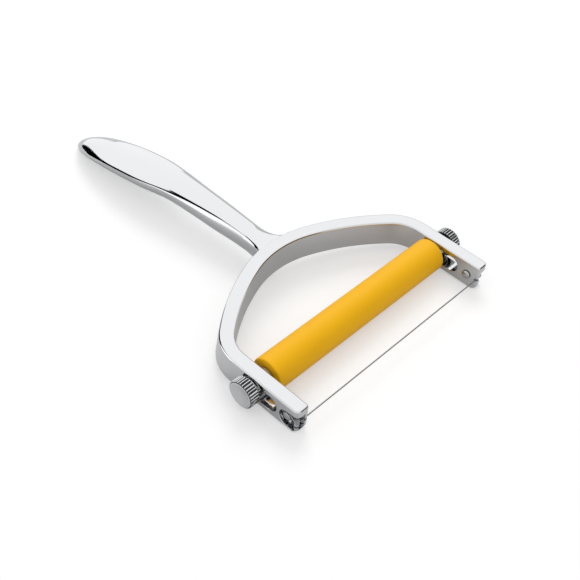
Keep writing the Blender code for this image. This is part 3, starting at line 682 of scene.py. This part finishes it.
def rollerPieces():
    radius, edge = roller["radius"], roller["edgeRound"]
    corner = [(rollerEnd - edge * (1 - sin(i / 8 * pi / 2)), radius - edge * (1 - cos(i / 8 * pi / 2)))
              for i in range(9)]
    lip = roller["boreLip"]
    right = corner + [(rollerEnd, boreRadius + lip), (rollerEnd - lip, boreRadius)]
    sleeve = turnedShape(right + [(-x, r) for x, r in right[::-1]], 144, ring=True)
    finishPiece(meshObject("yellow_roller", onAxle(sleeve)), "roller", [yellow],
                ["roller_sleeve"])
    outer, inner, soft = boreRadius - roller["bushFit"], axle["radius"] + gap, roller["bushSoft"]
    for side, name in ((-1, "left"), (1, "right")):
        low = rollerEnd - roller["bushLength"]
        walls = [(low, inner + soft), (low, outer - soft), (low + soft, outer), (rollerEnd - soft, outer),
                 (rollerEnd, outer - soft), (rollerEnd, inner + soft), (rollerEnd - soft, inner),
                 (low + soft, inner)]
        bush = turnedShape([(side * x, r) for x, r in walls], 96, ring=True)
        finishPiece(meshObject(name + "_bush", onAxle(bush)), "roller", [yellow],
                    [name + "_roller_bush"])


def thumbScrew(side, name):
    head, shank, root = thumb["radius"], thumb["screwRadius"], thumb["radius"] - thumb["knurlDepth"]
    face = thumbFace + thumb["thickness"]
    tip = thumbFace - thumb["screwLength"]
    chamfer, back, dish = thumb["rimChamfer"], thumb["backChamfer"], thumb["dishDepth"]
    profile = [(tip, 0), (tip, shank - thumb["tipChamfer"]), (tip + thumb["tipChamfer"], shank),
               (thumbFace, shank), (thumbFace, root), (thumbFace + back, head),
               (face - chamfer, head), (face - chamfer * 0.3, root - chamfer * 0.45),
               (face, root - chamfer), (face, thumb["dishRadius"] + dish),
               (face - dish, thumb["dishRadius"] - dish), (face - dish, 0)]
    bm = turnedShape([(side * x, r) for x, r in profile], thumb["ribs"] * thumb["stepsPerRib"])
    for vert in bm.verts:
        radius = sqrt(vert.co.y**2 + vert.co.z**2)
        if radius > root:
            rib = 0.5 + 0.9 * cos(atan2(vert.co.z, vert.co.y) * thumb["ribs"])
            limit = root + thumb["knurlDepth"] * min(1, max(0, rib))
            vert.co.yz = vert.co.yz * (min(radius, limit) / radius)
    screw = finishPiece(meshObject(name + "_knurled_screw", onAxle(bm)), name + "_screw",
                        [nickelKnurl, nickelFace], [name + "_thumb_screw"], 32)
    for polygon in screw.data.polygons:
        polygon.material_index = int(side * polygon.center.x > face - chamfer * 0.5)
    return screw


def washerPiece(side, name):
    hole, outer, soft = thumb["screwRadius"] + gap, thumb["washerRadius"], thumb["washerSoft"]
    back = washerFace + thumb["washerThickness"]
    walls = [(washerFace, hole), (washerFace, outer - soft), (washerFace + soft, outer),
             (back - soft, outer), (back, outer - soft), (back, hole)]
    washer = turnedShape([(side * x, r) for x, r in walls], 96, ring=True)
    finishPiece(meshObject(name + "_clamp_washer", onAxle(washer)), name + "_clamp",
                [barSteel], [name + "_washer"])


axlePiece()
rollerPieces()
for side, name in ((-1, "left"), (1, "right")):
    washerPiece(side, name)
    thumbScrew(side, name)
print("axle, roller and clamps made")


# Studio: a floor, one lamp for the shadows, and the boards that the chrome mirrors.
# A board's corners are (azimuth from +Y towards +X, elevation) in degrees, seen from the tool.
studio = {
    "floorSize": 8.0, "floorGlow": 0.42, "floorSheen": 0.08, "fill": 0.74,
    "lampIrradiance": 0.38, "lampSize": 0.7, "lampDistance": 1.3,
    "lampDirection": Vector((0.54, 0.41, 0.74)),
    "boards": (
        ("white_board", 1.28, 1.30, ((4, 2), (36, 2), (60, 30), (90, 30), (90, 82), (4, 82))),
        ("grey_board", 0.70, 1.40, ((32, 0), (104, 0), (104, 32), (58, 32))),
        ("bright_board", 1.60, 1.20, ((-27, 60), (-64, 50), (-60, 6), (-25, 6))),
        ("black_board", 0.0, 1.00, ((6, 72), (-27, 56), (-25, 2), (8, 2))),
        ("dark_board", 0.05, 1.10, ((112, 0), (178, 0), (178, 38), (112, 38))),
    ),
}


def floorPaper():
    # Seamless white paper: matt and even, so that only the soft shadows show on it
    material, tree, shader = startMaterial("white_paper", "#CFCFCF", 0.0, 0.9)
    place = addNode(tree, "ShaderNodeTexCoord").outputs["Object"]
    fibre = addNode(tree, "ShaderNodeTexNoise", inputs={"Vector": place, "Scale": 1 / 0.002})
    bump = addNode(tree, "ShaderNodeBump", inputs={
        "Height": fibre.outputs["Fac"], "Strength": 0.05, "Distance": 0.00002})
    rays = addNode(tree, "ShaderNodeLightPath")
    sheen = addNode(tree, "ShaderNodeMath", {"operation": "MULTIPLY"}, {
        0: rays.outputs["Is Glossy Ray"], 1: studio["floorSheen"]})
    glow = addNode(tree, "ShaderNodeMath", {"operation": "MULTIPLY_ADD"}, {
        0: rays.outputs["Is Camera Ray"], 1: studio["floorGlow"], 2: sheen.outputs["Value"]})
    tree.links.new(bump.outputs["Normal"], shader.inputs["Normal"])
    tree.links.new(glow.outputs["Value"], shader.inputs["Emission Strength"])
    shader.inputs["Emission Color"].default_value = (1, 1, 1, 1)
    shader.inputs["Specular IOR Level"].default_value = 0.1
    return material


def boardFace(name, radiance):
    # Card that a studio hangs for bright metal to mirror: lit white, or black flock for dark lines
    material, tree, shader = startMaterial(name, "#000000", 0.0, 1.0)
    shader.inputs["Specular IOR Level"].default_value = 0.0
    shader.inputs["Emission Color"].default_value = (1, 1, 1, 1)
    shader.inputs["Emission Strength"].default_value = radiance
    return material


def stageObject(name, bm, material):
    mesh = bpy.data.meshes.new(name)
    bm.to_mesh(mesh)
    bm.free()
    mesh.materials.append(material)
    plane = bpy.data.objects.new(name, mesh)
    bpy.context.scene.collection.objects.link(plane)
    return plane


floor = bmesh.new()
bmesh.ops.create_grid(floor, x_segments=1, y_segments=1, size=studio["floorSize"] / 2)
stageObject("paper_floor", floor, floorPaper())
for name, radiance, distance, corners in studio["boards"]:
    board = bmesh.new()
    for azimuth, elevation in corners:
        flat = cos(radians(elevation)) * distance
        board.verts.new((flat * sin(radians(azimuth)), flat * cos(radians(azimuth)),
                         sin(radians(elevation)) * distance + past))
    bmesh.ops.contextual_create(board, geom=board.verts[:])
    hung = stageObject(name, board, boardFace(name, radiance))
    hung.visible_camera = False
    hung.visible_diffuse = False
    hung.visible_shadow = False

key = bpy.data.lights.new("soft_key", "AREA")
key.shape = "SQUARE"
key.size = studio["lampSize"]
key.energy = studio["lampIrradiance"] * (pi * studio["lampDistance"]) ** 2
lamp = bpy.data.objects.new("soft_key", key)
lampWay = studio["lampDirection"].normalized()
lamp.location = lampWay * studio["lampDistance"]
lamp.rotation_euler = lampWay.to_track_quat("Z", "Y").to_euler()
lamp.visible_camera = False
lamp.visible_glossy = False
bpy.context.scene.collection.objects.link(lamp)

world = bpy.data.worlds.new("white_room")
world.use_nodes = True
tree = world.node_tree
sky = tree.nodes["Background"]
sky.inputs["Color"].default_value = (1, 1, 1, 1)
rays = addNode(tree, "ShaderNodeLightPath")
cameraOrGloss = addNode(tree, "ShaderNodeMath", {"operation": "MAXIMUM"}, {
    0: rays.outputs["Is Camera Ray"], 1: rays.outputs["Is Glossy Ray"]})
seen = addNode(tree, "ShaderNodeMath", {"operation": "MAXIMUM"}, {
    0: cameraOrGloss.outputs["Value"], 1: rays.outputs["Is Transmission Ray"]})
level = addNode(tree, "ShaderNodeMapRange", inputs={
    "Value": seen.outputs["Value"], "To Min": studio["fill"], "To Max": 1.0})
tree.links.new(level.outputs["Result"], sky.inputs["Strength"])
bpy.context.scene.world = world

# the camera that the photo's arms, wire and roller were fitted to: millimetres, metres, degrees
photoView = {"lens": 59.42, "sensor": 36, "location": (-0.21963, -0.24813, 0.27096),
             "turn": (47.562, -0.921, -46.170)}
view = bpy.data.cameras.new("photo_view")
view.lens = photoView["lens"]
view.sensor_width = photoView["sensor"]
camera = bpy.data.objects.new("photo_view", view)
camera.location = photoView["location"]
camera.rotation_euler = [radians(angle) for angle in photoView["turn"]]
bpy.context.scene.collection.objects.link(camera)
bpy.context.scene.camera = camera
bpy.context.scene.view_settings.view_transform = "Standard"
print("studio set")
